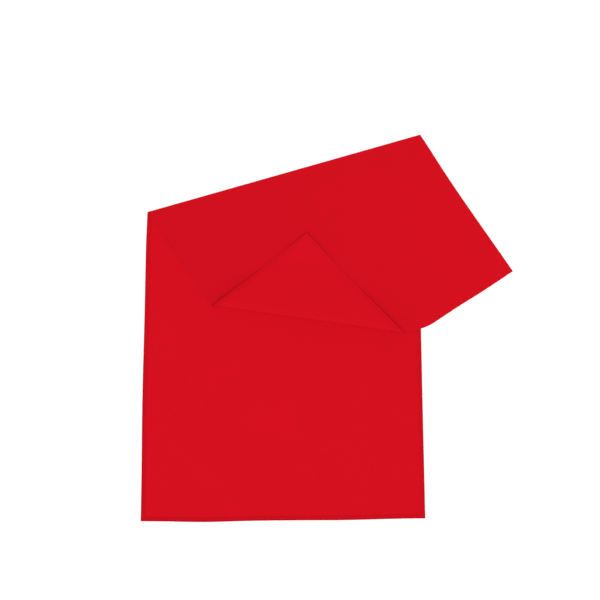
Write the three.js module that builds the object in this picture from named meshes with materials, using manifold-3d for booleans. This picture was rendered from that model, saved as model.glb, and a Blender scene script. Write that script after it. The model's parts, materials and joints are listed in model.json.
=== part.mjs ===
// Fire blanket: one long strip of cloth with a stitched hem, laid out flat on a floor.
// Its upper part is folded forward over a slanting crease and lies askew on the lower part,
// and the loose corner of that flap is turned back on top of it.
// Millimetres. X runs along the near short edge, Y up the long edges, Z up from the floor.

import * as THREE from "three";
import { mergeVertices } from "three/addons/utils/BufferGeometryUtils.js";
import Module from "manifold-3d";

// The cloth as it is cut and hemmed, spread out flat.
const BLANKET_WIDTH = 900;
const BLANKET_LENGTH = 1800;
const CLOTH = 1.2; // thickness of one layer
const HEM_WIDTH = 13; // the cut edge is turned over once, so a hem is two layers
const STITCH_INSET = 3; // from the hem's inner fold to the row of stitches
const THREAD_WIDTH = 1;
const THREAD_HEIGHT = 0.6;
const CLEARANCE = 0.3; // between neighbouring pieces

// Where the two creases cross the edges of the flat cloth.
const FLAP_CREASE_LEFT = 986; // up the left edge
const FLAP_CREASE_RIGHT = 1256; // up the right edge
const CORNER_CREASE_LEFT = 1355; // up the left edge
const CORNER_CREASE_END = 506; // in from the left edge, along the far end

// How softly the cloth is folded: radii of the middle of the cloth round each crease.
const FLAP_BEND_RADIUS = 3;
const CORNER_BEND_RADIUS = 9;
const CORNER_SLACK = 46; // cloth taken up by the waves and the curl of the turned corner

// The gentle waves. Heights are of the middle of the cloth over the floor.
const FLAP_CREST_HEIGHT = 10.2; // the flap arches up behind its crease
const FLAP_CREST_INWARD = 100;
const FLAT_BEFORE_CORNER = 76; // the flap lies flat from this far short of the corner's crease
const CORNER_DIP_INWARD = 150; // the turned corner sinks towards the flap, and its tip rises
const CORNER_TIP_INWARD = 290;
const CORNER_TIP_LIFT = 2;

const HEM = 2 * CLOTH;
const CREASE_REACH = 2 * BLANKET_LENGTH; // longer than any crease, either way
const BELOW = -50; // under everything
const ABOVE = 200; // over everything
const SAME_POINT = 1e-4;
const BEND_STEPS = 6; // flats in a quarter turn
const RUN_STEP = 25; // length of a flat along a gentle wave

const RED = 0xd5111f;
const HEM_RED = 0xcc101d;
const THREAD_RED = 0xb80e1a;

const wasm = await Module();
wasm.setup();

// --- plane geometry of the folded strip ---

const add = (p, q, k = 1) => [p[0] + k * q[0], p[1] + k * q[1]];
const dot = (p, q) => p[0] * q[0] + p[1] * q[1];

// A crease is the outermost line of a fold, seen from above. "inward" points from it over
// the folded cloth, and "takeUp" is the cloth used by the bend.
function creaseThrough(start, end, side, radius, outerFace, slack) {
  const length = Math.hypot(...add(end, start, -1));
  const along = add([0, 0], add(end, start, -1), 1 / length);
  const inward = [side * along[1], -side * along[0]];
  const centre = radius + outerFace;
  return { start, inward, radius, centre, takeUp: Math.PI * radius - 2 * centre + slack };
}

const inwardOf = (point, crease) => dot(add(point, crease.start, -1), crease.inward);

// A point beyond the crease, after the cloth is folded over it.
function folded(point, crease) {
  return add(point, crease.inward, -2 * inwardOf(point, crease) - crease.takeUp);
}

// The part of a convex outline that lies at least "distance" inward of a crease.
function clipped(outline, crease, distance = 0) {
  const kept = [];
  outline.forEach((point, i) => {
    const next = outline[(i + 1) % outline.length];
    const here = inwardOf(point, crease) - distance;
    const there = inwardOf(next, crease) - distance;
    if (here >= 0) kept.push(point);
    if (here * there < 0) kept.push(add(point, add(next, point, -1), here / (here - there)));
  });
  return kept;
}

const flapCrease = creaseThrough(
  [0, FLAP_CREASE_LEFT],
  [BLANKET_WIDTH, FLAP_CREASE_RIGHT],
  1,
  FLAP_BEND_RADIUS,
  CLOTH / 2,
  0,
);
// The hem's turned layer lies on the outside of this fold, so it sets the outermost line.
const cornerCreaseEnds = [
  folded([0, CORNER_CREASE_LEFT], flapCrease),
  folded([CORNER_CREASE_END, BLANKET_LENGTH], flapCrease),
];
const cornerCrease = creaseThrough(
  ...cornerCreaseEnds,
  -1,
  CORNER_BEND_RADIUS,
  HEM - CLOTH / 2,
  CORNER_SLACK,
);

// --- heights ---

const smooth = (t) => t * t * (3 - 2 * t);
const ramp = (x, from, to) => smooth(Math.min(1, Math.max(0, (x - from) / (to - from))));
const mix = (a, b, t) => a + (b - a) * t;

const MAIN_MIDDLE = CLOTH / 2;
const OVER_HEM = HEM - CLOTH / 2; // from a hem's outer layer's middle to its far face
const LAID_THREAD = CLEARANCE + THREAD_HEIGHT;
const FLAP_AXIS_HEIGHT = MAIN_MIDDLE + FLAP_BEND_RADIUS;
// The flap's hem passes over the main hem and its stitches, and the corner over the flap's crest.
const FLAP_REST = MAIN_MIDDLE + OVER_HEM + LAID_THREAD + CLEARANCE + OVER_HEM;
const CORNER_AXIS_HEIGHT = FLAP_REST + CORNER_BEND_RADIUS;
const CORNER_DIP_HEIGHT = FLAP_CREST_HEIGHT + CLOTH + LAID_THREAD + CLEARANCE;

const nearestCorner = Math.min(...cornerCreaseEnds.map((end) => inwardOf(end, flapCrease)));
const flapSettlesAt = nearestCorner - FLAT_BEFORE_CORNER;
const flapCrestAt = Math.min(FLAP_CREST_INWARD, flapSettlesAt / 2);

const mainMiddle = () => MAIN_MIDDLE;
const flapRestMiddle = () => FLAP_REST;

function flapMiddle(inward) {
  const top = FLAP_AXIS_HEIGHT + FLAP_BEND_RADIUS;
  const risen = mix(top, FLAP_CREST_HEIGHT, ramp(inward, flapCrease.centre, flapCrestAt));
  return mix(risen, FLAP_REST, ramp(inward, flapCrestAt, flapSettlesAt));
}

function cornerMiddle(inward) {
  const top = CORNER_AXIS_HEIGHT + CORNER_BEND_RADIUS;
  const dipped = mix(top, CORNER_DIP_HEIGHT, ramp(inward, cornerCrease.centre, CORNER_DIP_INWARD));
  return dipped + CORNER_TIP_LIFT * ramp(inward, CORNER_DIP_INWARD, CORNER_TIP_INWARD);
}

// --- solids ---

function toManifold(geometry) {
  const bare = geometry.clone();
  bare.deleteAttribute("normal");
  bare.deleteAttribute("uv");
  const merged = mergeVertices(bare, SAME_POINT);
  const mesh = new wasm.Mesh({
    numProp: 3,
    vertProperties: new Float32Array(merged.attributes.position.array),
    triVerts: new Uint32Array(merged.index.array),
  });
  return new wasm.Manifold(mesh);
}

function toGeometry(solid) {
  const { vertProperties, triVerts } = solid.getMesh();
  const geometry = new THREE.BufferGeometry();
  geometry.setAttribute("position", new THREE.BufferAttribute(vertProperties, 3));
  geometry.setIndex(new THREE.BufferAttribute(triVerts, 1));
  geometry.computeVertexNormals();
  return geometry;
}

function shapeOf(points) {
  return new THREE.Shape(points.map(([x, y]) => new THREE.Vector2(x, y)));
}

// An outline seen from above, as an upright prism.
function prism(outline) {
  const settings = { depth: ABOVE - BELOW, bevelEnabled: false };
  const geometry = new THREE.ExtrudeGeometry(shapeOf(outline), settings);
  return toManifold(geometry.translate(0, 0, BELOW));
}

// A section of [inward, height] points, carried along a crease.
function alongCrease(section, crease) {
  const settings = { depth: 2 * CREASE_REACH, bevelEnabled: false };
  const geometry = new THREE.ExtrudeGeometry(shapeOf(section), settings);
  const inward = new THREE.Vector3(...crease.inward, 0);
  const up = new THREE.Vector3(0, 0, 1);
  const along = new THREE.Vector3().crossVectors(inward, up);
  const place = new THREE.Matrix4().makeBasis(inward, up, along);
  const start = new THREE.Vector3(...crease.start, 0).addScaledVector(along, -CREASE_REACH);
  return toManifold(geometry.applyMatrix4(place.setPosition(start)));
}

// Everything that lies further in than the middle of a crease's bend.
function pastBend(crease) {
  const { centre } = crease;
  const section = [[centre, BELOW], [CREASE_REACH, BELOW], [CREASE_REACH, ABOVE], [centre, ABOVE]];
  return alongCrease(section, crease);
}

function stations(from, to) {
  const count = Math.max(1, Math.ceil((to - from) / RUN_STEP));
  return Array.from({ length: count + 1 }, (_, i) => mix(from, to, i / count));
}

// One face of a layer, as a quarter turn out of the crease and then the run over the floor.
// side is -1 for the lower layer of a fold and 1 for the upper one.
function faceOf(crease, axisHeight, side, radius, height, wavesEnd) {
  const points = [];
  const first = Math.asin(CLEARANCE / 2 / radius);
  for (let i = 0; i < BEND_STEPS; i += 1) {
    const turn = mix(first, Math.PI / 2, i / BEND_STEPS);
    const inward = crease.centre - radius * Math.cos(turn);
    points.push([inward, axisHeight + side * radius * Math.sin(turn)]);
  }
  const run = stations(crease.centre, wavesEnd).concat(CREASE_REACH);
  return points.concat(run.map((inward) => [inward, height(inward)]));
}

// A layer of cloth. outside and inside are its faces' distances from its middle, where
// outside is the face on the outside of the fold.
function bentLayer(crease, axisHeight, side, middle, outside, inside, wavesEnd) {
  const face = (offset) => {
    const height = (inward) => middle(inward) + side * offset;
    return faceOf(crease, axisHeight, side, crease.radius + offset, height, wavesEnd);
  };
  return alongCrease([...face(outside), ...face(-inside).reverse()], crease);
}

// A row of stitches lying over a layer, at that height over the layer's middle.
function laidThread(crease, middle, over, wavesEnd) {
  const run = stations(crease.centre, wavesEnd).concat(CREASE_REACH);
  const low = run.map((inward) => [inward, middle(inward) + over + CLEARANCE]);
  const high = low.map(([inward, height]) => [inward, height + THREAD_HEIGHT]);
  return alongCrease([...low, ...high.reverse()], crease);
}

// --- the cloth, spread out flat ---

const W = BLANKET_WIDTH;
const L = BLANKET_LENGTH;
const INNER = HEM_WIDTH + CLEARANCE; // where the single layer starts
const SEAM = HEM_WIDTH - STITCH_INSET; // the row of stitches, in from the edge
const SEAM_LOW = SEAM - THREAD_WIDTH / 2;
const SEAM_HIGH = SEAM + THREAD_WIDTH / 2;

const rectangle = (x0, x1, y0, y1) => [[x0, y0], [x1, y0], [x1, y1], [x0, y1]];

const panel = rectangle(INNER, W - INNER, INNER, L - INNER);
const hems = {
  near: rectangle(0, W, 0, HEM_WIDTH),
  far: rectangle(0, W, L - HEM_WIDTH, L),
  left: rectangle(0, HEM_WIDTH, INNER, L - INNER),
  right: rectangle(W - HEM_WIDTH, W, INNER, L - INNER),
};
const sideSeam = [SEAM_HIGH + CLEARANCE, L - SEAM_HIGH - CLEARANCE];
const seams = {
  near: rectangle(SEAM_LOW, W - SEAM_LOW, SEAM_LOW, SEAM_HIGH),
  far: rectangle(SEAM_LOW, W - SEAM_LOW, L - SEAM_HIGH, L - SEAM_LOW),
  left: rectangle(SEAM_LOW, SEAM_HIGH, ...sideSeam),
  right: rectangle(W - SEAM_HIGH, W - SEAM_LOW, ...sideSeam),
};

// --- its three parts: main, flap and turned corner ---

// Each takes a zone of the flat cloth to its outline in the folded blanket. A margin of 1
// leaves out the bends.
function onMain(zone, margin = 0) {
  return clipped(zone, flapCrease, margin * flapCrease.centre);
}

function onFlap(zone, margin = 0) {
  const over = zone.map((point) => folded(point, flapCrease));
  const shown = clipped(over, flapCrease, margin * flapCrease.centre);
  return clipped(shown, cornerCrease, margin * cornerCrease.centre);
}

function onCorner(zone, margin = 0) {
  const over = zone.map((point) => folded(folded(point, flapCrease), cornerCrease));
  return clipped(over, cornerCrease, margin * cornerCrease.centre);
}

function mainLayer(thickness) {
  const inside = thickness - CLOTH / 2;
  const bend = [flapCrease, FLAP_AXIS_HEIGHT, -1];
  return bentLayer(...bend, mainMiddle, CLOTH / 2, inside, RUN_STEP);
}

// The flap is the upper layer at its own crease and the lower one at the corner's.
function flapLayer(thickness) {
  const under = thickness - CLOTH / 2;
  const upperBend = [flapCrease, FLAP_AXIS_HEIGHT, 1];
  const lowerBend = [cornerCrease, CORNER_AXIS_HEIGHT, -1];
  const upper = bentLayer(...upperBend, flapMiddle, CLOTH / 2, under, flapSettlesAt);
  const lower = bentLayer(...lowerBend, flapRestMiddle, under, CLOTH / 2, RUN_STEP);
  const past = pastBend(cornerCrease);
  return upper.intersect(past).add(lower.subtract(past));
}

function cornerLayer(thickness) {
  const over = thickness - CLOTH / 2;
  const bend = [cornerCrease, CORNER_AXIS_HEIGHT, 1];
  return bentLayer(...bend, cornerMiddle, over, CLOTH / 2, CORNER_TIP_INWARD);
}

const parts = {
  main: {
    place: onMain,
    sides: ["near", "left", "right"],
    layer: mainLayer,
    thread: laidThread(flapCrease, mainMiddle, OVER_HEM, RUN_STEP),
  },
  flap: {
    place: onFlap,
    sides: ["far", "left", "right"],
    layer: flapLayer,
    thread: laidThread(flapCrease, flapMiddle, CLOTH / 2, flapSettlesAt),
  },
  corner: {
    place: onCorner,
    sides: ["far", "left"],
    layer: cornerLayer,
    thread: laidThread(cornerCrease, cornerMiddle, OVER_HEM, CORNER_TIP_INWARD),
  },
};

const blanket = new THREE.Group();

function addPiece(name, layer, outline, color) {
  const material = new THREE.MeshStandardMaterial({ color, roughness: 0.95, metalness: 0 });
  const mesh = new THREE.Mesh(toGeometry(layer.intersect(prism(outline))), material);
  mesh.name = name;
  blanket.add(mesh);
}

for (const [part, { place, sides, layer, thread }] of Object.entries(parts)) {
  const double = layer(HEM);
  addPiece(`${part}_panel`, layer(CLOTH), place(panel), RED);
  for (const side of sides) {
    addPiece(`${part}_${side}_hem`, double, place(hems[side]), HEM_RED);
    addPiece(`${part}_${side}_stitching`, thread, place(seams[side], 1), THREAD_RED);
  }
}

// The origin is under the middle of the folded blanket, on the floor.
const middle = new THREE.Box3().setFromObject(blanket).getCenter(new THREE.Vector3());
blanket.position.set(-middle.x, -middle.y, 0);

export default blanket;
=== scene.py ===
import json
import math

import bmesh
import bpy
import numpy as np
from mathutils import Matrix, Vector


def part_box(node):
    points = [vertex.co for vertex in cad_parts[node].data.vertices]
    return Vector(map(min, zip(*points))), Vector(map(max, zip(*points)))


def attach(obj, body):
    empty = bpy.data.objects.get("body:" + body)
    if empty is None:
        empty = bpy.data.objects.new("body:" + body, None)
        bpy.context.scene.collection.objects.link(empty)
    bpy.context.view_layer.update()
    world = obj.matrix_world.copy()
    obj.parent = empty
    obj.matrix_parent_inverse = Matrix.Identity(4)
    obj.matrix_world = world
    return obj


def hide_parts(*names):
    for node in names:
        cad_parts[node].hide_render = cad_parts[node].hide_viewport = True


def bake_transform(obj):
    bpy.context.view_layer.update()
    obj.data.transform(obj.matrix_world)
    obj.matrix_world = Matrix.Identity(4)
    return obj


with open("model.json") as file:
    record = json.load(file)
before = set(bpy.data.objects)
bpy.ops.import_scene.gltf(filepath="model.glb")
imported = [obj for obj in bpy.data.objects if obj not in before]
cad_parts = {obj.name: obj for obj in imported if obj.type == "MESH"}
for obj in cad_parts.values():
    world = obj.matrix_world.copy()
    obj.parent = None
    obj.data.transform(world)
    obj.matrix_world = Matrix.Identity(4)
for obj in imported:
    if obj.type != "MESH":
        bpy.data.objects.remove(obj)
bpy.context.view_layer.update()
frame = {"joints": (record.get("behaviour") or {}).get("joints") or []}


# --- Floor, light and camera ---
# The blanket lies on a plain white floor. A broad lamp, nearly overhead and a little to the near
# side, lights it, and a pale surround fills the shadows. The camera looks almost straight down.

FLOOR_SIZE = 16.0
FLOOR_WHITE = 0.95
floor_mesh = bpy.data.meshes.new("floor")
half_floor = FLOOR_SIZE / 2
floor_corners = [(-1, -1), (1, -1), (1, 1), (-1, 1)]
floor_points = [(x * half_floor, y * half_floor, 0) for x, y in floor_corners]
floor_mesh.from_pydata(floor_points, [], [(0, 1, 2, 3)])
floor = bpy.data.objects.new("floor", floor_mesh)
bpy.context.scene.collection.objects.link(floor)
floor_paint = bpy.data.materials.new("white_floor")
floor_paint.use_nodes = True
floor_shader = floor_paint.node_tree.nodes["Principled BSDF"]
floor_shader.inputs["Base Color"].default_value = (FLOOR_WHITE, FLOOR_WHITE, FLOOR_WHITE, 1)
floor_shader.inputs["Roughness"].default_value = 0.8
floor_shader.inputs["Specular IOR Level"].default_value = 0.1
floor_mesh.materials.append(floor_paint)

WHITE_UP_TO = 0.3  # sine of the height above the horizon up to which the surround is white
DIM_FROM = 0.5  # and the sine of the height above which it is dim
DIMMED = 0.3  # its strength there
surround = bpy.data.worlds.new("pale_surround")
surround.use_nodes = True
sky = surround.node_tree
sky.nodes["Background"].inputs["Color"].default_value = (1, 1, 1, 1)
sky_way = sky.nodes.new("ShaderNodeTexCoord")
sky_parts = sky.nodes.new("ShaderNodeSeparateXYZ")
sky_strength = sky.nodes.new("ShaderNodeMapRange")
sky_strength.inputs["From Min"].default_value = WHITE_UP_TO
sky_strength.inputs["From Max"].default_value = DIM_FROM
sky_strength.inputs["To Min"].default_value = 1.0
sky_strength.inputs["To Max"].default_value = DIMMED
sky.links.new(sky_way.outputs["Generated"], sky_parts.inputs["Vector"])
sky.links.new(sky_parts.outputs["Z"], sky_strength.inputs["Value"])
sky.links.new(sky_strength.outputs["Result"], sky.nodes["Background"].inputs["Strength"])
bpy.context.scene.world = surround

LAMP_TOWARDS = Vector((-0.05, -0.22, 0.97))  # from the blanket to the lamp
LAMP_STRENGTH = 2.65
LAMP_BREADTH = math.radians(38)
lamp = bpy.data.lights.new("studio_lamp", "SUN")
lamp.energy = LAMP_STRENGTH
lamp.angle = LAMP_BREADTH
lamp_object = bpy.data.objects.new("studio_lamp", lamp)
lamp_object.rotation_euler = LAMP_TOWARDS.to_track_quat("Z", "Y").to_euler()
bpy.context.scene.collection.objects.link(lamp_object)

CAMERA_PLACE = (-0.212, -0.2434, 2.9162)
CAMERA_AIM = (-0.0967, 0.0721, 0.0)  # where the middle of the view meets the floor
camera = bpy.data.cameras.new("camera")
camera.sensor_width = 36
camera.lens = 54
camera_object = bpy.data.objects.new("camera", camera)
camera_object.location = CAMERA_PLACE
back_of_view = (Vector(CAMERA_PLACE) - Vector(CAMERA_AIM)).normalized()
right_of_view = Vector((0, 1, 0)).cross(back_of_view).normalized()
top_of_view = back_of_view.cross(right_of_view)
turned_view = Matrix((right_of_view, top_of_view, back_of_view)).transposed()
camera_object.rotation_euler = turned_view.to_euler()
bpy.context.scene.collection.objects.link(camera_object)
bpy.context.scene.camera = camera_object
bpy.context.scene.view_settings.view_transform = "Standard"


# --- Main panel ---
# The blanket is one strip of red woven cloth. This part lies on the floor, from the near hem up
# to a slanting crease, where the rest is folded forward over it. Only its own weight holds it.

WIDTH = 0.9
LENGTH = 1.8
CLOTH = 0.0012  # thickness of one layer
HEM = 0.013  # width of cloth turned over along each edge
LAYER = 0.0013  # from the middle of one layer to the middle of the layer on it
CREASE_GAP = 0.00015  # from the outermost cloth of a crease to the line that it turns about
near_left = np.array(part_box("main_near_hem")[0])[:2]
right_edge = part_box("main_near_hem")[1].x


def across(points, way):
    return points[..., 0] * way[0] + points[..., 1] * way[1]


def ease(x, start, end):
    t = np.clip((x - start) / (end - start), 0, 1)
    return t * t * (3 - 2 * t)


def mix(a, b, t):
    return a + (b - a) * t


def bump(x, middle, reach):
    return np.exp(-(((x - middle) / reach) ** 2))


class Crease:
    """A soft roll of cloth: the line that it turns about, and how tightly it bends."""

    def __init__(self, joint_name, radius, outer):
        joint = next(j for j in frame["joints"] if j["name"] == joint_name)
        self.place = np.array(joint["pos_m"][:2])
        self.height = joint["pos_m"][2]
        axis = np.array(joint["axis"][:2])
        self.inward = np.array([-axis[1], axis[0]])
        self.along = axis
        self.radius = radius
        self.centre = CREASE_GAP + outer + radius
        self.turn = math.pi * radius
        self.under = self.height - radius
        self.over = self.height + radius

    def inner(self, points):
        return across(points - self.place, self.inward)


flap_crease = Crease("flap_fold", 0.0026, CLOTH / 2)
corner_crease = Crease("corner_fold", 0.009, CLOTH / 2 + LAYER)


def unfolded(way):
    """A direction on the flap, as it was on the flat cloth."""
    return way - 2 * across(way, flap_crease.inward) * flap_crease.inward


def over_flap_crease(points):
    """Points of the flat cloth beyond the first crease, laid over it."""
    slide = 2 * flap_crease.centre - flap_crease.turn - 2 * flap_crease.inner(points)
    return points + slide[..., None] * flap_crease.inward


# The directions of the corner's crease on the flat cloth.
corner_flat_inward = unfolded(corner_crease.inward)
corner_flat_along = unfolded(corner_crease.along)


def past_corner_crease(points):
    """How far points of the flat cloth lie beyond the start of the corner's roll."""
    return corner_crease.centre - corner_crease.inner(over_flap_crease(points))


far_left = near_left + np.array([0, LENGTH])
corner_reach = float(past_corner_crease(far_left))  # from the start of the corner's roll to its tip

CORNER_SLACK = 0.046  # cloth that the turned corner's waves take up
PULL_LEFT = 0.0147  # along the corner's crease: its ends are drawn towards each other
PULL_RIGHT = -0.026
PULL_TIP = -0.0084

# How far the edges stray from straight lines.
LEFT_BOW = 0.0022  # outwards, below the middle of the main panel
LEFT_NIP = 0.0026  # inwards, at the first crease
RIGHT_LEAN = 0.0016  # outwards at the near end, and inwards further up
RIGHT_FOOT = 0.0014  # outwards, at the near end
RIGHT_FLARE = 0.0033  # outwards, at the first crease and at the far end
NEAR_BOW = 0.0040  # outwards, but for the right end
NEAR_BULGE = 0.0036  # outwards, near the left end
FAR_BOW = 0.0054  # outwards, right of the middle
FAR_BULGE = 0.0030  # outwards, further right
LEAN_TURNS = 0.3  # how far up the right edge its lean changes sides


def drift(flat):
    """Small shifts of the cloth in its own plane, for edges that aren't quite straight."""
    u, v = (flat - near_left)[..., 0], (flat - near_left)[..., 1]
    shift = np.zeros(flat.shape)
    shift[..., 0] -= LEFT_BOW * bump(v, 0.38, 0.2) * bump(u, 0.0, 0.2)
    shift[..., 0] += LEFT_NIP * bump(v, 0.99, 0.08) * bump(u, 0.0, 0.1)
    lean = (LEAN_TURNS - v) / LEAN_TURNS * ease(u, 0.5, WIDTH) * (1 - ease(v, 0.6, 0.9))
    foot = (1 - ease(v, 0.0, 0.5)) * ease(u, 0.6, WIDTH)
    flare = (bump(v, 1.26, 0.07) + ease(v, 1.5, LENGTH)) * ease(u, 0.7, WIDTH)
    shift[..., 0] += RIGHT_LEAN * lean + RIGHT_FOOT * foot + RIGHT_FLARE * flare
    near_wave = NEAR_BOW * (1 - ease(u, 0.6, 0.88)) + NEAR_BULGE * bump(u, 0.2, 0.11)
    far_wave = FAR_BOW * ease(u, 0.5, 0.58) + FAR_BULGE * ease(u, 0.66, 0.8)
    shift[..., 1] += far_wave * ease(v, 1.45, LENGTH) - near_wave * bump(v, 0.0, 0.14)

    # Along the corner's crease, fading out over the flap.
    past = past_corner_crease(flat)
    at = across(over_flap_crease(flat) - corner_crease.place, corner_crease.along)
    at = at - START_OF_CREASE
    share = np.clip(at / CREASE_RUN, 0, 1)
    up = np.clip(past / corner_reach, 0, 1)
    right = np.clip((at - up * TIP_AT) / CREASE_RUN, 0, 1)
    on_corner = (1 - up - right) * PULL_LEFT + right * PULL_RIGHT + up * PULL_TIP
    reach = mix(0.34, 0.075, ease(share, 0.3, 1.0))
    beyond = np.clip(at - CREASE_RUN, 0, None)
    fade = bump(past, 0.0, reach) * bump(beyond, 0.0, 0.03)
    on_flap = mix(PULL_LEFT, PULL_RIGHT, share) * fade
    pull = np.where(past > 0, on_corner, on_flap)
    pull = pull * ease(-flap_crease.inner(flat), 0.0, 0.06)
    return shift + pull[..., None] * corner_flat_along


def crossing(point, way):
    """Where a line on the flat cloth meets the outermost line of the corner's crease."""
    start = float(past_corner_crease(point))
    step = float(past_corner_crease(point + way)) - start
    target = corner_crease.centre
    return point + way * ((target - start) / step)


crease_left = crossing(far_left, np.array([0.0, 1.0]))
crease_right = crossing(far_left, np.array([1.0, 0.0]))


def along_corner_crease(point):
    return float(across(over_flap_crease(point) - corner_crease.place, corner_crease.along))


START_OF_CREASE = along_corner_crease(crease_left)
CREASE_RUN = along_corner_crease(crease_right) - START_OF_CREASE
TIP_AT = along_corner_crease(far_left) - START_OF_CREASE


# Soft swellings of the cloth: place from the near left corner, height, and reach both ways.
MAIN_SWELLS = (
    (0.30, 0.80, 0.0026, 0.16, 0.17),
    (0.62, 0.40, 0.0014, 0.22, 0.2),
    (0.17, 0.12, 0.0012, 0.08, 0.07),
)
FLAP_SWELLS = (
    (1.02, 0.93, 0.0022, 0.07, 0.12),
    (0.78, 0.96, 0.0016, 0.10, 0.07),
    (0.13, 0.84, 0.0010, 0.05, 0.07),
)
RIPPLE = 0.0005  # half the height of the near edge's waves
RIPPLE_LENGTH = 0.31
CREST_LEFT = 0.0068  # how high the flap arches behind its crease, at its left edge
CREST = 0.0098
CREST_AT = 0.075  # how far in from the crease
SETTLED_AT = 0.235  # how far in the flap lies flat again
FLAP_EDGE = 0.0038  # how high its left edge lies
FLAP_OFF_MAIN = 0.0026  # how high it lies where it has left the main panel
CORNER_DIP = 0.0069  # how low the turned corner sinks
DIP_AT = 0.18
TIP_LIFT = 0.0105  # how far its tip stands up from there
TIP_RISEN_AT = 0.285


def swelling(points, swells):
    local = points - near_left
    total = 0.0
    for x, y, height, reach_x, reach_y in swells:
        total = total + height * bump(local[..., 0], x, reach_x) * bump(local[..., 1], y, reach_y)
    return total


def main_height(points):
    local = points - near_left
    wave = np.sin(local[..., 0] * 2 * math.pi / RIPPLE_LENGTH + 0.6)
    ripple = RIPPLE * (1 + wave) * bump(local[..., 1], 0.0, 0.06)
    settled = ease(flap_crease.inner(points), 0.012, 0.06)
    return flap_crease.under + (swelling(points, MAIN_SWELLS) + ripple) * settled


def flap_height(points):
    inner = flap_crease.inner(points)
    from_left = ease(across(points - near_left, (1, 0)), 0.02, 0.25)
    crest = mix(CREST_LEFT, CREST, from_left)
    risen = mix(flap_crease.over, crest, ease(inner, flap_crease.centre, CREST_AT))
    rest = mix(FLAP_EDGE, corner_crease.under, from_left)
    level = mix(risen, rest, ease(inner, CREST_AT, SETTLED_AT))
    off_main = points[..., 0] - right_edge
    level = level - (corner_crease.under - FLAP_OFF_MAIN) * ease(off_main, 0.0, 0.11)
    from_corner = corner_crease.inner(points)
    apart = ease(inner, 0.02, 0.09) * ease(from_corner, 0.02, 0.1)
    near_crease = 1 - ease(from_corner, 0.02, 0.07)
    on_main = 1 - ease(off_main, -0.06, 0.0)
    level = mix(level, corner_crease.under, near_crease * on_main * ease(inner, 0.15, 0.24))
    return level + swelling(points, FLAP_SWELLS) * apart


def corner_height(points):
    inner = corner_crease.inner(points)
    dipped = mix(corner_crease.over, CORNER_DIP, ease(inner, corner_crease.centre, DIP_AT))
    return dipped + TIP_LIFT * ease(inner, DIP_AT, TIP_RISEN_AT)


def middle(flat):
    """Where points of the flat cloth come to lie, in the middle of its thickness."""
    flat = flat + drift(flat)
    height = main_height(flat)

    # Round the first roll.
    inner = flap_crease.inner(flat)
    past = flap_crease.centre - inner
    angle = np.clip(past / flap_crease.radius, 0, math.pi)
    rolled = flap_crease.centre - flap_crease.radius * np.sin(angle)
    rolling = (past > 0) & (past < flap_crease.turn)
    moved = flat + (rolled - inner)[..., None] * flap_crease.inward
    place = np.where(rolling[..., None], moved, flat)
    height = np.where(rolling, flap_crease.height - flap_crease.radius * np.cos(angle), height)

    # Past it, lying on the main panel.
    over = past >= flap_crease.turn
    folded = over_flap_crease(flat)
    place = np.where(over[..., None], folded, place)
    height = np.where(over, flap_height(folded), height)

    # Round the corner's roll.
    inner = corner_crease.inner(folded)
    past = corner_crease.centre - inner
    angle = np.clip(past / corner_crease.radius, 0, math.pi)
    rolled = corner_crease.centre - corner_crease.radius * np.sin(angle)
    rolling = over & (past > 0) & (past < corner_crease.turn)
    moved = folded + (rolled - inner)[..., None] * corner_crease.inward
    place = np.where(rolling[..., None], moved, place)
    rolled_height = corner_crease.height - corner_crease.radius * np.cos(angle)
    height = np.where(rolling, rolled_height, height)

    # Past that, drawn in and lying on the flap.
    turned = over & (past >= corner_crease.turn)
    free = past - corner_crease.turn
    shrink = 1 - CORNER_SLACK / (corner_reach - corner_crease.turn)
    target = corner_crease.centre + free * shrink
    moved = folded + (target - inner)[..., None] * corner_crease.inward
    place = np.where(turned[..., None], moved, place)
    height = np.where(turned, corner_height(moved), height)
    return np.concatenate([place, height[..., None]], axis=-1)


def laid(flat, lift):
    """Points of the flat cloth, that far off the middle of the panel on its front face."""
    step = 0.00005
    du = middle(flat + [step, 0]) - middle(flat - [step, 0])
    dv = middle(flat + [0, step]) - middle(flat - [0, step])
    front = np.cross(du, dv)
    front = front / np.linalg.norm(front, axis=-1, keepdims=True)
    return middle(flat) + front * np.asarray(lift)[..., None]


def flap_line(past):
    """A line on the flat cloth, at a distance beyond the start of the first roll."""
    point = flap_crease.place + flap_crease.inward * (flap_crease.centre - past)
    return point, -flap_crease.inward


LEAD = 0.004  # the cloth of each roll starts this far before its bend
FLAP_START = flap_line(-LEAD)


def cut(sheet, line, drop):
    """Cuts a flat sheet along a line. It drops what is past it (1) or before it (-1), or
    nothing (None)."""
    point, way = line
    bmesh.ops.bisect_plane(
        sheet,
        geom=sheet.verts[:] + sheet.edges[:] + sheet.faces[:],
        dist=1e-7,
        plane_co=(*point, 0),
        plane_no=(*way, 0),
        clear_outer=drop == 1,
        clear_inner=drop == -1,
    )


def finished(name, points, faces, flat, reverse, material):
    """A piece of the blanket, with the flat cloth's coordinates as its UV map."""
    mesh = bpy.data.meshes.new(name)
    mesh.from_pydata([tuple(p) for p in points], [], faces)
    layer = mesh.uv_layers.new(name="cloth")
    corners = np.zeros(len(mesh.loops), int)
    mesh.loops.foreach_get("vertex_index", corners)
    layer.data.foreach_set("uv", (flat - near_left)[corners].astype(np.float32).ravel())
    side = mesh.attributes.new("reverse_side", "FLOAT", "POINT")
    side.data.foreach_set("value", np.asarray(reverse, np.float32))
    mesh.materials.append(material)
    mesh.shade_smooth()
    mesh.set_sharp_from_angle(angle=math.radians(50))
    piece = bpy.data.objects.new(name, mesh)
    bpy.context.scene.collection.objects.link(piece)
    return piece


GRID = 0.0065  # from one point of a mesh to the next


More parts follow.
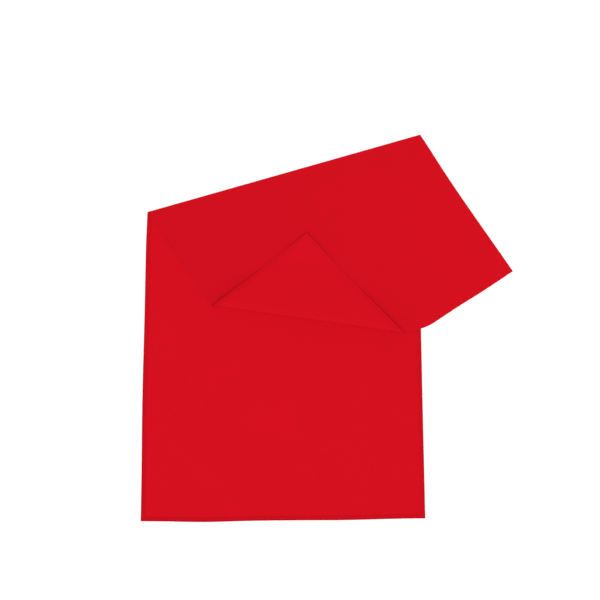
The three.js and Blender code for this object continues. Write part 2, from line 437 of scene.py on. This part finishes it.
def cloth_piece(name, zone, cuts, material):
    """One layer of cloth, laid out of a rectangle of the flat cloth and its cuts."""
    (u0, u1), (v0, v1) = zone
    sheet = bmesh.new()
    across_count = max(1, round((u1 - u0) / GRID))
    along_count = max(1, round((v1 - v0) / GRID))
    grid = [
        [sheet.verts.new((mix(u0, u1, i / across_count), mix(v0, v1, j / along_count), 0))
         for i in range(across_count + 1)]
        for j in range(along_count + 1)
    ]
    for low, high in zip(grid, grid[1:]):
        for a, b, c, d in zip(low, low[1:], high[1:], high):
            sheet.faces.new((a, b, c, d))
    for vert in sheet.verts:
        vert.co.x += near_left[0]
        vert.co.y += near_left[1]
    for line, drop in cuts:
        cut(sheet, line, drop)
    sheet.verts.index_update()
    flat = np.array([v.co[:2] for v in sheet.verts])
    faces = [[v.index for v in f.verts] for f in sheet.faces]
    area = sum(f.calc_area() for f in sheet.faces)
    rim = [[loop.vert.index for loop in (e.link_loops[0], e.link_loops[0].link_loop_next)]
           for e in sheet.edges if len(e.link_faces) == 1]
    sheet.free()
    count = len(flat)
    points = np.concatenate([laid(flat, np.full(count, CLOTH / 2)),
                             laid(flat, np.full(count, -CLOTH / 2))])
    back = [[i + count for i in reversed(f)] for f in faces]
    sides = [[b, a, a + count, b + count] for a, b in rim]
    reverse = [0.0] * count + [1.0] * count
    both = np.concatenate([flat, flat])
    return finished(name, points, faces + back + sides, both, reverse, material), area


class Value:
    """A shader socket, so that sums on it can be written as sums."""

    def __init__(self, tree, socket):
        self.tree = tree
        self.socket = socket

    def node(self, kind, settings=None, **sockets):
        made = self.tree.nodes.new(kind)
        for name, value in (settings or {}).items():
            setattr(made, name, value)
        for key, value in sockets.items():
            if key[0] == "n" and key[1:].isdigit():
                target = made.inputs[int(key[1:])]
            else:
                target = made.inputs[key.replace("_", " ")]
            if isinstance(value, Value):
                self.tree.links.new(value.socket, target)
            else:
                target.default_value = value
        return made

    def maths(self, operation, *values):
        sockets = {f"n{i}": value for i, value in enumerate(values)}
        made = self.node("ShaderNodeMath", {"operation": operation}, **sockets)
        return Value(self.tree, made.outputs[0])

    def __add__(self, other):
        return self.maths("ADD", self, other)

    def __sub__(self, other):
        return self.maths("SUBTRACT", self, other)

    def __rsub__(self, other):
        return self.maths("SUBTRACT", other, self)

    def __mul__(self, other):
        return self.maths("MULTIPLY", self, other)

    def __truediv__(self, other):
        return self.maths("DIVIDE", self, other)

    __radd__ = __add__
    __rmul__ = __mul__


YARN = 0.0011  # from one yarn to the next
WANDER = 0.0009  # how far a yarn strays from its line, at most
EDGE_SHADE_WIDTH = 0.007  # how far in from an open edge its band of painted shade reaches


def woven_cloth(name, colour, edge_shade_share):
    """Close plain weave in matt red glass yarn, a little fuzzy. Painted shade darkens its reverse
    side, and a band along its open edges by the share it is given.
    """
    material = bpy.data.materials.new(name)
    material.use_nodes = True
    tree = material.node_tree
    shader = tree.nodes["Principled BSDF"]
    nodes = Value(tree, None)
    place = nodes.node("ShaderNodeUVMap", {"uv_map": "cloth"})
    parts = nodes.node("ShaderNodeSeparateXYZ", Vector=Value(tree, place.outputs[0]))
    where = Value(tree, place.outputs[0])
    slub = nodes.node("ShaderNodeTexNoise", Vector=where, Scale=160.0, Detail=3.0)
    mottle = Value(tree, slub.outputs["Fac"])
    broad = nodes.node("ShaderNodeTexNoise", Vector=where, Scale=5.0, Detail=2.0)
    patches = Value(tree, broad.outputs["Fac"])
    from_left = Value(tree, parts.outputs[0])
    from_near = Value(tree, parts.outputs[1])
    warp = (from_left + WANDER * mottle) / YARN
    weft = (from_near - WANDER * mottle) / YARN
    cell = warp.maths("FLOOR", warp) + weft.maths("FLOOR", weft)
    warp_on_top = cell.maths("FLOORED_MODULO", cell, 2.0)
    warp_round = warp.maths("ABSOLUTE", warp.maths("SINE", warp * math.pi))
    weft_round = weft.maths("ABSOLUTE", weft.maths("SINE", weft * math.pi))
    warp_high = warp_round * (0.55 + 0.45 * weft_round)
    weft_high = weft_round * (0.55 + 0.45 * warp_round)
    weave = warp_high * warp_on_top + weft_high * (1 - warp_on_top)

    streaks = []  # of the fibres: along the warp, then along the weft
    for stretch in ((7000.0, 700.0, 1.0), (700.0, 7000.0, 1.0)):
        drawn = nodes.node("ShaderNodeVectorMath", {"operation": "MULTIPLY"}, n0=where, n1=stretch)
        drawn_out = Value(tree, drawn.outputs[0])
        strands = nodes.node("ShaderNodeTexNoise", Vector=drawn_out, Scale=1.0, Detail=2.0)
        streaks.append(Value(tree, strands.outputs["Fac"]))
    fibres = streaks[0] * warp_on_top + streaks[1] * (1 - warp_on_top)
    turned = nodes.node("ShaderNodeAttribute", {"attribute_name": "reverse_side"})
    reverse = Value(tree, turned.outputs["Fac"])

    from_side = from_left.maths("MINIMUM", from_left, WIDTH - from_left)
    from_end = from_near.maths("MINIMUM", from_near, LENGTH - from_near)
    from_edge = from_side.maths("MINIMUM", from_side, from_end)
    # Near the open edges the colour is darkened: a band of painted shade along the rims.
    clear_of_edge_shade = from_edge.maths("MINIMUM", from_edge.maths("MAXIMUM", from_edge, 0.0) / EDGE_SHADE_WIDTH, 1.0)

    tone = 0.79 + 0.17 * weave + 0.12 * fibres + 0.06 * mottle + 0.05 * patches
    # Painted shade on the reverse side: darkest by the left end of the first crease, fading out
    # towards the far right.
    reverse_painted_shade = 0.08 - 0.05 * from_left - 0.04 * (from_near - 1)
    tone = tone * (1 - reverse_painted_shade * reverse) * (1 - edge_shade_share * (1 - clear_of_edge_shade))
    dyed = nodes.node("ShaderNodeVectorMath", {"operation": "SCALE"}, n0=colour)
    tree.links.new(tone.socket, dyed.inputs["Scale"])
    tree.links.new(dyed.outputs[0], shader.inputs["Base Color"])
    rough = 0.86 + 0.1 * fibres
    tree.links.new(rough.socket, shader.inputs["Roughness"])
    relief = weave * 0.8 + fibres * 0.3
    raised = nodes.node("ShaderNodeBump", Strength=0.7, Distance=0.0004, Height=relief)
    tree.links.new(raised.outputs[0], shader.inputs["Normal"])
    shader.inputs["Specular IOR Level"].default_value = 0.06
    shader.inputs["Sheen Weight"].default_value = 0.06
    shader.inputs["Sheen Roughness"].default_value = 0.5
    shader.inputs["Sheen Tint"].default_value = (1.0, 0.1, 0.1, 1)
    return material


EDGE = (LAYER + CLOTH) / 2  # from the blanket's edge to where its cloth starts to turn over
PANEL_ACROSS = (EDGE, WIDTH - EDGE)
PAST_CREASE = 1.3  # past the far end of the first crease
main_zone = (PANEL_ACROSS, (EDGE, PAST_CREASE))
CLOTH_RED = (0.577, 0.0027, 0.0098)
PAINTED_EDGE_SHADE = 0.18  # how deep the band of painted shade along the main panel's open edges is
edge_shaded_red = woven_cloth("handled_red_cloth", CLOTH_RED, PAINTED_EDGE_SHADE)
main_panel, main_area = cloth_piece("main_cloth", main_zone, [(FLAP_START, 1)], edge_shaded_red)
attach(main_panel, "main")
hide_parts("main_panel")


# --- Flap ---
# The cloth folded forward over the first crease. It arches up behind the crease, lies on the
# main panel and reaches past it on the right, where it settles on the floor.


def corner_line(past):
    """A line on the flat cloth, at a distance beyond the start of the corner's roll."""
    start = crease_left - corner_flat_inward * (past - corner_crease.centre)
    return start, -corner_flat_inward


def bend_steps(crease, count):
    return [crease.turn * i / count for i in range(count + 1)]


CORNER_START = corner_line(-LEAD)
BEFORE_CREASE = 0.95  # before the near end of the first crease
# Its reverse side, which faces up on the flap, carries painted shade. Its edges have none.
cloth_red = woven_cloth("red_cloth", CLOTH_RED, 0.0)
flap_bend = [flap_line(past) for past in bend_steps(flap_crease, 12)]
flap_cuts = [(FLAP_START, -1), (CORNER_START, 1), *[(line, None) for line in flap_bend]]
flap_zone = (PANEL_ACROSS, (BEFORE_CREASE, LENGTH - EDGE))
flap_panel, flap_area = cloth_piece("flap_cloth", flap_zone, flap_cuts, cloth_red)


def follow(piece, crease, bodies, low, high, tilt):
    """Bakes where a piece lies into its mesh. It works out a point above the crease from low, high
    and tilt, but makes no use of it."""
    way = Vector((*(crease.inward * tilt), 1.0))
    start = Vector((*crease.place, low))
    reach = (high - low) / way.length_squared
    tuple(start + way * reach)
    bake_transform(piece)


FLAP_BEND = (0.0018, 0.0054)  # heights between which the cloth passes from main to flap
FLAP_TILT = 0.02
follow(flap_panel, flap_crease, ("main", "flap"), *FLAP_BEND, FLAP_TILT)
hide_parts("flap_panel")


# --- Turned corner ---
# The flap's loose corner, rolled softly back over itself. It sinks on to the flap half way
# along and its tip stands up a little.

corner_bend = [corner_line(past) for past in bend_steps(corner_crease, 20)]
corner_cuts = [(CORNER_START, -1), *[(line, None) for line in corner_bend]]
CORNER_PART = (0.56, 1.3)  # the corner lies left of the first of these, and beyond the second
corner_zone = ((EDGE, CORNER_PART[0]), (CORNER_PART[1], LENGTH - EDGE))
corner_panel, corner_area = cloth_piece("corner_cloth", corner_zone, corner_cuts, cloth_red)
CORNER_BEND = (0.008, 0.0208)  # heights between which the cloth passes from flap to corner
CORNER_TILT = 0.1
follow(corner_panel, corner_crease, ("flap", "corner"), *CORNER_BEND, CORNER_TILT)
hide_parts("corner_panel")


# --- Hems ---
# The cut edges are turned over once on to the front face and pressed. On the flap that face
# lies underneath, so its hems show only at the turned corner.

SEAM = 0.010  # from the blanket's edge to its row of stitches
DIMPLE = 0.0002  # the stitches pull the hem down along the seam
GATHER = 0.0016  # how far from the stitches the hem is pulled down


def turned_over(edge, inset, run):
    """A point of the flat cloth, by its distance in from an edge and along it."""
    if edge == "left":
        spot = (inset, run)
    elif edge == "right":
        spot = (WIDTH - inset, run)
    elif edge == "near":
        spot = (run, inset)
    else:
        spot = (run, LENGTH - inset)
    return near_left + np.stack(np.broadcast_arrays(*spot), axis=-1)


def square(run):
    """A mark straight across a hem."""
    return lambda edge, inset: np.full(len(inset), run)


def along(line):
    """A mark where a slanting line crosses a hem."""
    point, way = line

    def mark(edge, inset):
        start = across(turned_over(edge, inset, 0.0) - point, way)
        step = across(turned_over(edge, inset, 1.0) - point, way) - start
        return -start / step

    return mark


def hem_section():
    """The hem's outer and inner faces, as distances in from the edge and off the panel."""
    turn = np.linspace(-math.pi / 2, -1.5 * math.pi, 9)
    half = LAYER / 2
    # Two steps along the flat, three across the stitches, and two at the worn cut edge.
    run = np.array([0.0042, 0.0065, SEAM - GATHER, SEAM, SEAM + GATHER, HEM - 0.0003, HEM])
    pulled = np.array([0, 0, 0, -DIMPLE, 0, -0.00005, -0.00025])
    outer_inset = np.concatenate([EDGE + EDGE * np.cos(turn), run])
    outer_lift = np.concatenate([half + EDGE * np.sin(turn), LAYER + CLOTH / 2 + pulled])
    bore = half - CLOTH / 2
    inner_inset = np.concatenate([EDGE + bore * np.cos(turn), run])
    inner_lift = np.concatenate([half + bore * np.sin(turn), np.full(len(run), LAYER - CLOTH / 2)])
    return (np.concatenate([outer_inset, inner_inset[::-1]]),
            np.concatenate([outer_lift, inner_lift[::-1]]))


def hem_piece(name, edge, marks, material):
    """A hem along one edge, through a row of marks, with rings close enough between them."""
    inset, lift = hem_section()
    rows = [mark(edge, inset) for mark in marks]
    runs = [rows[0]]
    for last, following in zip(rows, rows[1:]):
        count = max(1, round(abs(following - last).max() / GRID))
        runs += [mix(last, following, (i + 1) / count) for i in range(count)]
    flat = np.concatenate([turned_over(edge, inset, run) for run in runs])
    points = laid(flat, np.tile(lift, len(runs)))
    ring = len(inset)
    faces = []
    for k in range(len(runs) - 1):
        low, high = k * ring, (k + 1) * ring
        for i in range(ring):
            j = (i + 1) % ring
            faces.append([low + i, low + j, high + j, high + i])
    for base, order in ((0, -1), ((len(runs) - 1) * ring, 1)):
        for i in range(ring // 2 - 1):
            cap = [base + i, base + i + 1, base + ring - 2 - i, base + ring - 1 - i]
            faces.append(cap[::order])
    handed = 1 if edge in ("left", "far") else -1  # keeps the faces pointing outwards
    if handed * (runs[-1][0] - runs[0][0]) < 0:
        faces = [face[::-1] for face in faces]
    outside = np.arange(ring) < ring // 2
    reverse = np.tile(outside.astype(float), len(runs))
    return finished(name, points, faces, flat, reverse, material)


flap_marks = [along(FLAP_START), *[along(line) for line in flap_bend]]
corner_marks = [along(CORNER_START), *[along(line) for line in corner_bend]]
side_end = square(LENGTH - HEM)
hems = {
    "main": {
        "near": [square(0.0), square(WIDTH)],
        "left": [square(HEM), along(FLAP_START)],
        "right": [square(HEM), along(FLAP_START)],
    },
    "flap": {
        "left": [*flap_marks, along(CORNER_START)],
        "right": [*flap_marks, side_end],
        "far": [along(CORNER_START), square(WIDTH)],
    },
    "corner": {
        "left": [*corner_marks, side_end],
        "far": [*corner_marks, square(0.0)],
    },
}


HEM_BEND = (0.003, 0.0042)  # heights between which a hem passes from main to flap


def join_in(piece, part):
    """Ties a piece on the main panel to the main body. A piece on the flap or the corner only has
    where it lies baked into its mesh.
    """
    if part == "main":
        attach(piece, "main")
    elif part == "flap":
        follow(piece, flap_crease, ("main", "flap"), *HEM_BEND, FLAP_TILT)
    else:
        follow(piece, corner_crease, ("flap", "corner"), *CORNER_BEND, CORNER_TILT)


trim = {"main": [], "flap": [], "corner": []}
for part, edges in hems.items():
    for edge, marks in edges.items():
        # The main panel's hems carry the band of painted shade along the open edges.
        material = edge_shaded_red if part == "main" else cloth_red
        piece = hem_piece(f"{part}_{edge}_turned_hem", edge, marks, material)
        join_in(piece, part)
        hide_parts(f"{part}_{edge}_hem")
        trim[part].append(piece)


# --- Stitching ---
# One row of lockstitch along each hem, in matching red thread. Each stitch is a short loop
# of thread, pulled into the cloth at both ends, and it shows on both faces.

STITCH_PITCH = 0.0045
STITCH = {"Stitch Length": 0.0036, "Thread Width": 0.0009, "Thread Height": 0.0008}
STITCH_SEED = 5
LEAST_STITCH = (0.93, 0.9, 0.85)  # the stitches' sizes vary between these shares
MOST_STITCH = (1.05, 1.1, 1.1)
AHEAD = 0.0002  # short steps that give a stitch's directions
OUTWARDS = 0.0005
SUNK = 0.00015  # how deep the back of each stitch is pulled in
thread_red = bpy.data.materials.new("red_thread")
thread_red.use_nodes = True
thread_nodes = Value(thread_red.node_tree, None)
thread_place = thread_nodes.node("ShaderNodeTexCoord")
thread_noise = thread_nodes.node(
    "ShaderNodeTexNoise",
    Vector=Value(thread_red.node_tree, thread_place.outputs["Object"]),
    Scale=2500.0,
    Detail=2.0,
)
thread_tone = 0.8 + 0.3 * Value(thread_red.node_tree, thread_noise.outputs["Fac"])
THREAD_RED = (0.56, 0.0028, 0.0096)
thread_dye = thread_nodes.node("ShaderNodeVectorMath", {"operation": "SCALE"}, n0=THREAD_RED)
thread_red.node_tree.links.new(thread_tone.socket, thread_dye.inputs["Scale"])
thread_shader = thread_red.node_tree.nodes["Principled BSDF"]
thread_red.node_tree.links.new(thread_dye.outputs[0], thread_shader.inputs["Base Color"])
thread_shader.inputs["Roughness"].default_value = 0.75
thread_shader.inputs["Specular IOR Level"].default_value = 0.06


def stitch_tree():
    """Puts a stitch on every point of a row, lying along the seam."""
    tree = bpy.data.node_groups.new("stitches", "GeometryNodeTree")
    face = tree.interface
    face.new_socket("Row", in_out="INPUT", socket_type="NodeSocketGeometry")
    for name in STITCH:
        face.new_socket(name, in_out="INPUT", socket_type="NodeSocketFloat")
    face.new_socket("Seed", in_out="INPUT", socket_type="NodeSocketInt")
    face.new_socket("Thread", in_out="INPUT", socket_type="NodeSocketMaterial")
    face.new_socket("Stitches", in_out="OUTPUT", socket_type="NodeSocketGeometry")
    nodes, link = tree.nodes, tree.links.new
    given = nodes.new("NodeGroupInput").outputs
    loop = nodes.new("GeometryNodeMeshUVSphere")
    loop.inputs["Segments"].default_value = 8
    loop.inputs["Rings"].default_value = 5
    loop.inputs["Radius"].default_value = 0.5
    size = nodes.new("ShaderNodeCombineXYZ")
    for axis, name in zip("XYZ", STITCH):
        link(given[name], size.inputs[axis])
    shaped = nodes.new("GeometryNodeTransform")
    link(loop.outputs["Mesh"], shaped.inputs["Geometry"])
    link(size.outputs[0], shaped.inputs["Scale"])
    smooth = nodes.new("GeometryNodeSetShadeSmooth")
    link(shaped.outputs[0], smooth.inputs["Geometry"])
    turned = nodes.new("FunctionNodeAxesToRotation")
    turned.primary_axis = "Z"
    turned.secondary_axis = "X"
    for name, socket in (("up", "Primary Axis"), ("along", "Secondary Axis")):
        way = nodes.new("GeometryNodeInputNamedAttribute")
        way.data_type = "FLOAT_VECTOR"
        way.inputs["Name"].default_value = name
        link(way.outputs[0], turned.inputs[socket])
    uneven = nodes.new("FunctionNodeRandomValue")
    uneven.data_type = "FLOAT_VECTOR"
    uneven.inputs["Min"].default_value = LEAST_STITCH
    uneven.inputs["Max"].default_value = MOST_STITCH
    link(given["Seed"], uneven.inputs["Seed"])
    placed = nodes.new("GeometryNodeInstanceOnPoints")
    link(given["Row"], placed.inputs["Points"])
    link(smooth.outputs[0], placed.inputs["Instance"])
    link(turned.outputs[0], placed.inputs["Rotation"])
    link(uneven.outputs[0], placed.inputs["Scale"])
    real = nodes.new("GeometryNodeRealizeInstances")
    link(placed.outputs[0], real.inputs[0])
    dressed = nodes.new("GeometryNodeSetMaterial")
    link(real.outputs[0], dressed.inputs["Geometry"])
    link(given["Thread"], dressed.inputs["Material"])
    link(dressed.outputs[0], nodes.new("NodeGroupOutput").inputs[0])
    return tree


stitches = stitch_tree()


def stitch_row(name, edge, first, last):
    """A row of stitches between two marks of a hem, showing on both of its faces."""
    seam = np.array([SEAM])
    start, end = sorted((first(edge, seam)[0], last(edge, seam)[0]))
    edge_length = WIDTH if edge in ("near", "far") else LENGTH
    start, end = max(start, SEAM), min(end, edge_length - SEAM)
    count = round((end - start) / STITCH_PITCH)
    runs = mix(start, end, (np.arange(count) + 0.5) / count)
    flat = turned_over(edge, SEAM, runs)
    ahead = turned_over(edge, SEAM, runs + AHEAD)
    places, ups, alongs = [], [], []
    for face, height in ((1, LAYER + CLOTH / 2 - DIMPLE), (-1, SUNK - CLOTH / 2)):
        lift = np.full(count, height)
        place = laid(flat, lift)
        places.append(place)
        ups.append(laid(flat, lift + face * OUTWARDS) - place)
        alongs.append(laid(ahead, lift) - place)
    mesh = bpy.data.meshes.new(name)
    mesh.from_pydata([tuple(p) for p in np.concatenate(places)], [], [])
    for key, both_faces in (("up", ups), ("along", alongs)):
        ways = np.concatenate(both_faces)
        ways = ways / np.linalg.norm(ways, axis=1, keepdims=True)
        layer = mesh.attributes.new(key, "FLOAT_VECTOR", "POINT")
        layer.data.foreach_set("vector", ways.astype(np.float32).ravel())
    row = bpy.data.objects.new(name, mesh)
    bpy.context.scene.collection.objects.link(row)
    sewing = row.modifiers.new("sewing", "NODES")
    sewing.node_group = stitches
    sockets = {item.name: item.identifier for item in stitches.interface.items_tree}
    for size, value in STITCH.items():
        sewing[sockets[size]] = value
    sewing[sockets["Seed"]] = STITCH_SEED
    sewing[sockets["Thread"]] = thread_red
    shown = row.evaluated_get(bpy.context.evaluated_depsgraph_get())
    row.data = bpy.data.meshes.new_from_object(shown)
    row.modifiers.remove(sewing)
    bpy.data.meshes.remove(mesh)
    return row


for part, edges in hems.items():
    for edge, marks in edges.items():
        row = stitch_row(f"{part}_{edge}_thread", edge, marks[0], marks[-1])
        join_in(row, part)
        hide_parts(f"{part}_{edge}_stitching")
        trim[part].append(row)


# --- What the cloth is ---
# One blanket, 0.9 m by 1.8 m with its hems turned. Here the turned corner's size on the flat cloth
# is worked out: from the left edge to the right end of its crease, and from the left end of its
# crease to the far edge.

corner_flat = (float(crease_right[0] - near_left[0]), float(far_left[1] - crease_left[1]))
